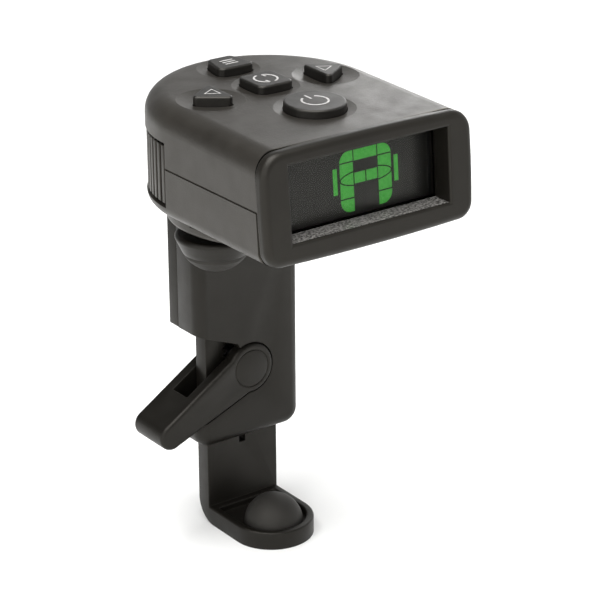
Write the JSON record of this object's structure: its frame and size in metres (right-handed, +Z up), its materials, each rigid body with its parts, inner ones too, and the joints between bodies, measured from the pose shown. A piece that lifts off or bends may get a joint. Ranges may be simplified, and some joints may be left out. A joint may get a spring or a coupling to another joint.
{
  "type": "clip-on tuner",
  "caption": "Clip-on instrument tuner: D-shaped head with recessed display and five keys, on a pan and tilt swivel over a ratchet body clamp with rubber pads and release lever.",
  "frame": {"origin": "on the underside of the foot, on the common vertical axis of the clamp pads' plane, the head's pan axis and the lower pad", "axes": "+Z up, along the ratchet bar; the display faces -Y; +X to the right of someone who reads the display from the front being on their right hand"},
  "size_m": [0.0308, 0.0363, 0.0621],
  "materials": {
    "shell_plastic": "fine matte moulded texture, near-black warm grey",
    "bezel_plastic": "fine matte moulded texture, near-black",
    "clamp_plastic": "satin moulded plastic, near-black",
    "button_rubber": "soft matte key caps with white printed symbols",
    "pad_rubber": "matte soft rubber",
    "window_glass": "clear window",
    "lcd_glass": "dark display panel with green segments",
    "backlight": "white light guide",
    "board": "green solder mask",
    "chip": "moulded package",
    "steel": "satin",
    "brass": "bright",
    "spring_steel": "bright spring steel"
  },
  "bodies": {
    "ratchet_bar": {"ratchet_bar": "clamp_plastic", "lower_pad": "pad_rubber"},
    "clamp": {"clamp_housing": "clamp_plastic", "back_cover": "clamp_plastic", "cover_screws": "steel", "upper_pad_left": "pad_rubber", "upper_pad_right": "pad_rubber", "tilt_pin": "steel"},
    "lever": {"release_lever": "clamp_plastic", "lever_axle": "steel", "ratchet_pawl": "steel", "lever_spring": "spring_steel"},
    "swivel": {"swivel_stud": "clamp_plastic"},
    "head": {"top_shell": "shell_plastic", "bottom_shell": "shell_plastic", "front_bezel": "bezel_plastic", "display_window": "window_glass", "lcd_panel": "lcd_glass", "backlight_panel": "backlight", "circuit_board": "board", "processor_chip": "chip", "ribbon_connector": "chip", "switch_domes": "spring_steel", "piezo_sensor": "brass", "battery_contact_top": "spring_steel", "battery_contact_side": "spring_steel", "shell_screws": "steel", "friction_washer": "spring_steel", "swivel_retainer": "chip"},
    "drawer": {"battery_drawer": "shell_plastic", "coin_cell": "steel", "cell_filling": "chip", "cell_cap": "steel"},
    "power_button": {"power_button": "button_rubber"},
    "select_button": {"select_button": "button_rubber"},
    "left_button": {"left_button": "button_rubber"},
    "right_button": {"right_button": "button_rubber"},
    "mode_button": {"mode_button": "button_rubber"}
  },
  "joints": [
    {"name": "jaw_slide", "type": "slide", "parent": "ratchet_bar", "child": "clamp", "axis": [0, 0, 1], "range_m": [-0.008, 0.009]},
    {"name": "lever_swing", "type": "hinge", "parent": "clamp", "child": "lever", "pos_m": [0, 0.008, 0.0218], "axis": [0, 1, 0], "range_deg": [0, 28], "stiffness_Nm_per_rad": 0.004, "springref_deg": -20.05},
    {"name": "head_tilt", "type": "hinge", "parent": "clamp", "child": "swivel", "pos_m": [0, 0, 0.0427], "axis": [1, 0, 0], "range_deg": [-6, 6]},
    {"name": "head_pan", "type": "hinge", "parent": "swivel", "child": "head", "pos_m": [0, 0, 0.046], "axis": [0, 0, 1], "range_deg": [-170, 170]},
    {"name": "drawer_slide", "type": "slide", "parent": "head", "child": "drawer", "axis": [0, 1, 0], "range_m": [0, 0.024]},
    {"name": "power_press", "type": "slide", "parent": "head", "child": "power_button", "axis": [0, -0.0244, 0.9997], "range_m": [-0.0005, 0], "stiffness_N_per_m": 300},
    {"name": "select_press", "type": "slide", "parent": "head", "child": "select_button", "axis": [0, -0.0244, 0.9997], "range_m": [-0.0005, 0], "stiffness_N_per_m": 300},
    {"name": "left_press", "type": "slide", "parent": "head", "child": "left_button", "axis": [0, -0.0244, 0.9997], "range_m": [-0.0005, 0], "stiffness_N_per_m": 300},
    {"name": "right_press", "type": "slide", "parent": "head", "child": "right_button", "axis": [0, -0.0244, 0.9997], "range_m": [-0.0005, 0], "stiffness_N_per_m": 300},
    {"name": "mode_press", "type": "slide", "parent": "head", "child": "mode_button", "axis": [0, -0.0244, 0.9997], "range_m": [-0.0005, 0], "stiffness_N_per_m": 300}
  ]
}
